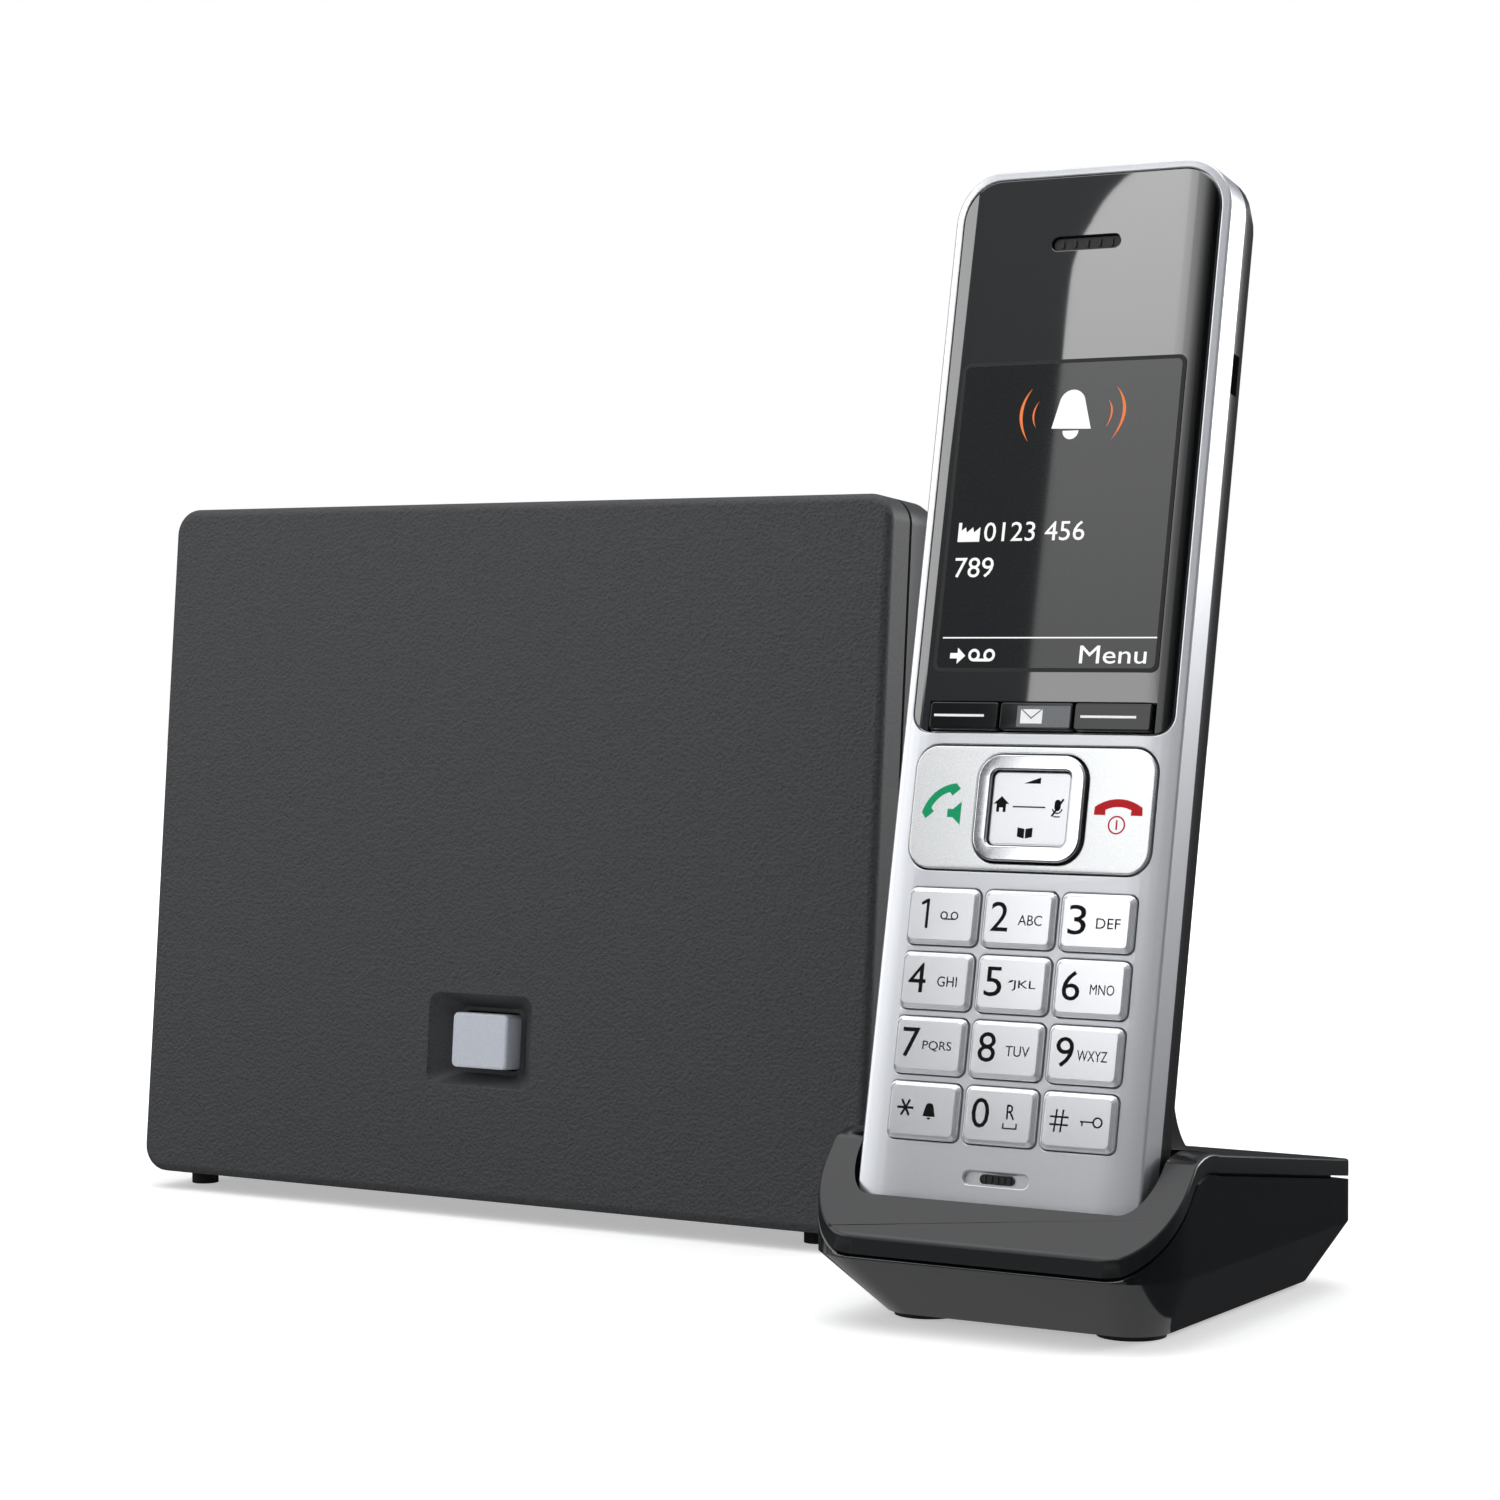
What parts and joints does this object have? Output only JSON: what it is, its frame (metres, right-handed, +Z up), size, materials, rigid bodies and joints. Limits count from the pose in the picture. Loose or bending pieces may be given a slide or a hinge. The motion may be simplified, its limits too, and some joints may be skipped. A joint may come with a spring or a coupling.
{
  "type": "cordless phone with base",
  "caption": "Cordless phone set: a silver and black handset leans back in its charging cradle, beside a flat grained base station box that stands upright.",
  "frame": {"origin": "middle of the set's bounding box, on the table", "axes": "+X to the viewer's right along the fronts, +Y to the back, +Z up"},
  "size_m": [0.2268, 0.0978, 0.1692],
  "materials": {
    "ballast_steel": "plain",
    "battery_wrap": "printed sleeve",
    "black_moulding": "plain moulding",
    "chrome_ring": "satin chrome",
    "circuit_board": "solder-mask green",
    "display": "display glass",
    "gloss_black_key": "polished",
    "grained_charcoal": "fine-grained matte moulding",
    "grained_charcoal_rear": "fine matte moulding",
    "lens": "polished",
    "light_grey_button": "satin moulding",
    "nav_pad": "fine metallic silver",
    "plated_contact": "gold plated",
    "rubber_feet": "matt rubber",
    "satin_black": "satin moulding",
    "satin_black_lower": "satin moulding",
    "satin_black_rear": "satin moulding",
    "screw_steel": "zinc plated",
    "silicone": "translucent silicone",
    "silver_key": "fine metallic silver",
    "silver_paint": "fine metallic silver",
    "silver_plate": "fine metallic silver",
    "tinned_steel": "tinned"
  },
  "bodies": {
    "set": {"station_front_cover": "grained_charcoal", "station_rear_cover": "grained_charcoal_rear", "station_socket_panel": "grained_charcoal_rear", "station_switch": "black_moulding", "station_board": "circuit_board", "station_shield_can": "tinned_steel", "station_antennas": "tinned_steel", "station_lan_socket": "tinned_steel", "station_line_socket": "black_moulding", "station_power_socket": "black_moulding", "station_feet": "rubber_feet", "station_screws": "screw_steel", "cradle_top_shell": "satin_black", "cradle_lower_shell": "satin_black_lower", "cradle_contact_holder": "black_moulding", "cradle_board": "circuit_board", "cradle_power_socket": "black_moulding", "cradle_ballast": "ballast_steel", "cradle_feet": "rubber_feet", "cradle_screws": "screw_steel"},
    "station_button": {"station_button": "light_grey_button"},
    "contact_left": {"cradle_contact_left": "plated_contact"},
    "contact_right": {"cradle_contact_right": "plated_contact"},
    "handset": {"handset_front_shell": "silver_paint", "handset_rear_shell": "satin_black_rear", "display_lens": "lens", "display_module": "display", "earpiece": "black_moulding", "keypad_mat": "silicone", "handset_board": "circuit_board", "battery_cells": "battery_wrap", "battery_contacts": "tinned_steel", "loudspeaker": "black_moulding", "microphone": "tinned_steel", "headset_socket": "black_moulding", "charging_pads": "plated_contact", "handset_screws": "screw_steel", "vibration_motor": "tinned_steel"},
    "key_1": {"key_1": "silver_key"},
    "key_2": {"key_2": "silver_key"},
    "key_3": {"key_3": "silver_key"},
    "key_4": {"key_4": "silver_key"},
    "key_5": {"key_5": "silver_key"},
    "key_6": {"key_6": "silver_key"},
    "key_7": {"key_7": "silver_key"},
    "key_8": {"key_8": "silver_key"},
    "key_9": {"key_9": "silver_key"},
    "key_star": {"key_star": "silver_key"},
    "key_0": {"key_0": "silver_key"},
    "key_hash": {"key_hash": "silver_key"},
    "soft_key_left": {"soft_key_left": "gloss_black_key"},
    "message_key": {"message_key": "gloss_black_key"},
    "soft_key_right": {"soft_key_right": "gloss_black_key"},
    "talk_end_rocker": {"talk_end_rocker": "silver_plate"},
    "nav_carrier": {"nav_carrier": "black_moulding"},
    "nav_frame": {"nav_frame": "chrome_ring"},
    "nav_centre": {"nav_centre": "nav_pad"},
    "battery_cover": {"battery_cover": "satin_black_rear"}
  },
  "joints": [
    {"name": "handset_lift", "type": "slide", "parent": "set", "child": "handset", "axis": [0, 0.2079, 0.9781], "range_m": [0, 0.06]},
    {"name": "station_button_press", "type": "slide", "parent": "set", "child": "station_button", "axis": [0, 0.9962, -0.0872], "range_m": [0, 0.0015], "stiffness_N_per_m": 600, "springref_m": -0.0005},
    {"name": "contact_left_press", "type": "slide", "parent": "set", "child": "contact_left", "axis": [0, -0.2079, -0.9781], "range_m": [0, 0.0008], "stiffness_N_per_m": 300, "springref_m": -0.0004},
    {"name": "contact_right_press", "type": "slide", "parent": "set", "child": "contact_right", "axis": [0, -0.2079, -0.9781], "range_m": [0, 0.0008], "stiffness_N_per_m": 300, "springref_m": -0.0004},
    {"name": "key_1_press", "type": "slide", "parent": "handset", "child": "key_1", "axis": [0, 0.9781, -0.2079], "range_m": [0, 0.0008], "stiffness_N_per_m": 500, "springref_m": -0.0004},
    {"name": "key_2_press", "type": "slide", "parent": "handset", "child": "key_2", "axis": [0, 0.9781, -0.2079], "range_m": [0, 0.0008], "stiffness_N_per_m": 500, "springref_m": -0.0004},
    {"name": "key_3_press", "type": "slide", "parent": "handset", "child": "key_3", "axis": [0, 0.9781, -0.2079], "range_m": [0, 0.0008], "stiffness_N_per_m": 500, "springref_m": -0.0004},
    {"name": "key_4_press", "type": "slide", "parent": "handset", "child": "key_4", "axis": [0, 0.9781, -0.2079], "range_m": [0, 0.0008], "stiffness_N_per_m": 500, "springref_m": -0.0004},
    {"name": "key_5_press", "type": "slide", "parent": "handset", "child": "key_5", "axis": [0, 0.9781, -0.2079], "range_m": [0, 0.0008], "stiffness_N_per_m": 500, "springref_m": -0.0004},
    {"name": "key_6_press", "type": "slide", "parent": "handset", "child": "key_6", "axis": [0, 0.9781, -0.2079], "range_m": [0, 0.0008], "stiffness_N_per_m": 500, "springref_m": -0.0004},
    {"name": "key_7_press", "type": "slide", "parent": "handset", "child": "key_7", "axis": [0, 0.9781, -0.2079], "range_m": [0, 0.0008], "stiffness_N_per_m": 500, "springref_m": -0.0004},
    {"name": "key_8_press", "type": "slide", "parent": "handset", "child": "key_8", "axis": [0, 0.9781, -0.2079], "range_m": [0, 0.0008], "stiffness_N_per_m": 500, "springref_m": -0.0004},
    {"name": "key_9_press", "type": "slide", "parent": "handset", "child": "key_9", "axis": [0, 0.9781, -0.2079], "range_m": [0, 0.0008], "stiffness_N_per_m": 500, "springref_m": -0.0004},
    {"name": "key_star_press", "type": "slide", "parent": "handset", "child": "key_star", "axis": [0, 0.9781, -0.2079], "range_m": [0, 0.0008], "stiffness_N_per_m": 500, "springref_m": -0.0004},
    {"name": "key_0_press", "type": "slide", "parent": "handset", "child": "key_0", "axis": [0, 0.9781, -0.2079], "range_m": [0, 0.0008], "stiffness_N_per_m": 500, "springref_m": -0.0004},
    {"name": "key_hash_press", "type": "slide", "parent": "handset", "child": "key_hash", "axis": [0, 0.9781, -0.2079], "range_m": [0, 0.0008], "stiffness_N_per_m": 500, "springref_m": -0.0004},
    {"name": "soft_key_left_press", "type": "slide", "parent": "handset", "child": "soft_key_left", "axis": [0, 0.9781, -0.2079], "range_m": [0, 0.0006], "stiffness_N_per_m": 500, "springref_m": -0.0004},
    {"name": "message_key_press", "type": "slide", "parent": "handset", "child": "message_key", "axis": [0, 0.9781, -0.2079], "range_m": [0, 0.0006], "stiffness_N_per_m": 500, "springref_m": -0.0004},
    {"name": "soft_key_right_press", "type": "slide", "parent": "handset", "child": "soft_key_right", "axis": [0, 0.9781, -0.2079], "range_m": [0, 0.0006], "stiffness_N_per_m": 500, "springref_m": -0.0004},
    {"name": "talk_end_rock", "type": "hinge", "parent": "handset", "child": "talk_end_rocker", "pos_m": [0.0844, -0.02933, 0.07417], "axis": [0, 0.2079, 0.9781], "range_deg": [-1.2, 1.2], "stiffness_Nm_per_rad": 1},
    {"name": "nav_carrier_tilt", "type": "hinge", "parent": "handset", "child": "nav_carrier", "pos_m": [0.0844, -0.02796, 0.07388], "axis": [1, 0, 0], "range_deg": [-2, 2], "stiffness_Nm_per_rad": 0.3},
    {"name": "nav_frame_tilt", "type": "hinge", "parent": "nav_carrier", "child": "nav_frame", "pos_m": [0.0844, -0.02796, 0.07388], "axis": [0, 0.2079, 0.9781], "range_deg": [-2, 2], "stiffness_Nm_per_rad": 0.3},
    {"name": "nav_centre_press", "type": "slide", "parent": "nav_frame", "child": "nav_centre", "axis": [0, 0.9781, -0.2079], "range_m": [0, 0.0005], "stiffness_N_per_m": 500, "springref_m": -0.0004},
    {"name": "battery_cover_off", "type": "slide", "parent": "handset", "child": "battery_cover", "axis": [0, 0.9781, -0.2079], "range_m": [0, 0.015]}
  ]
}
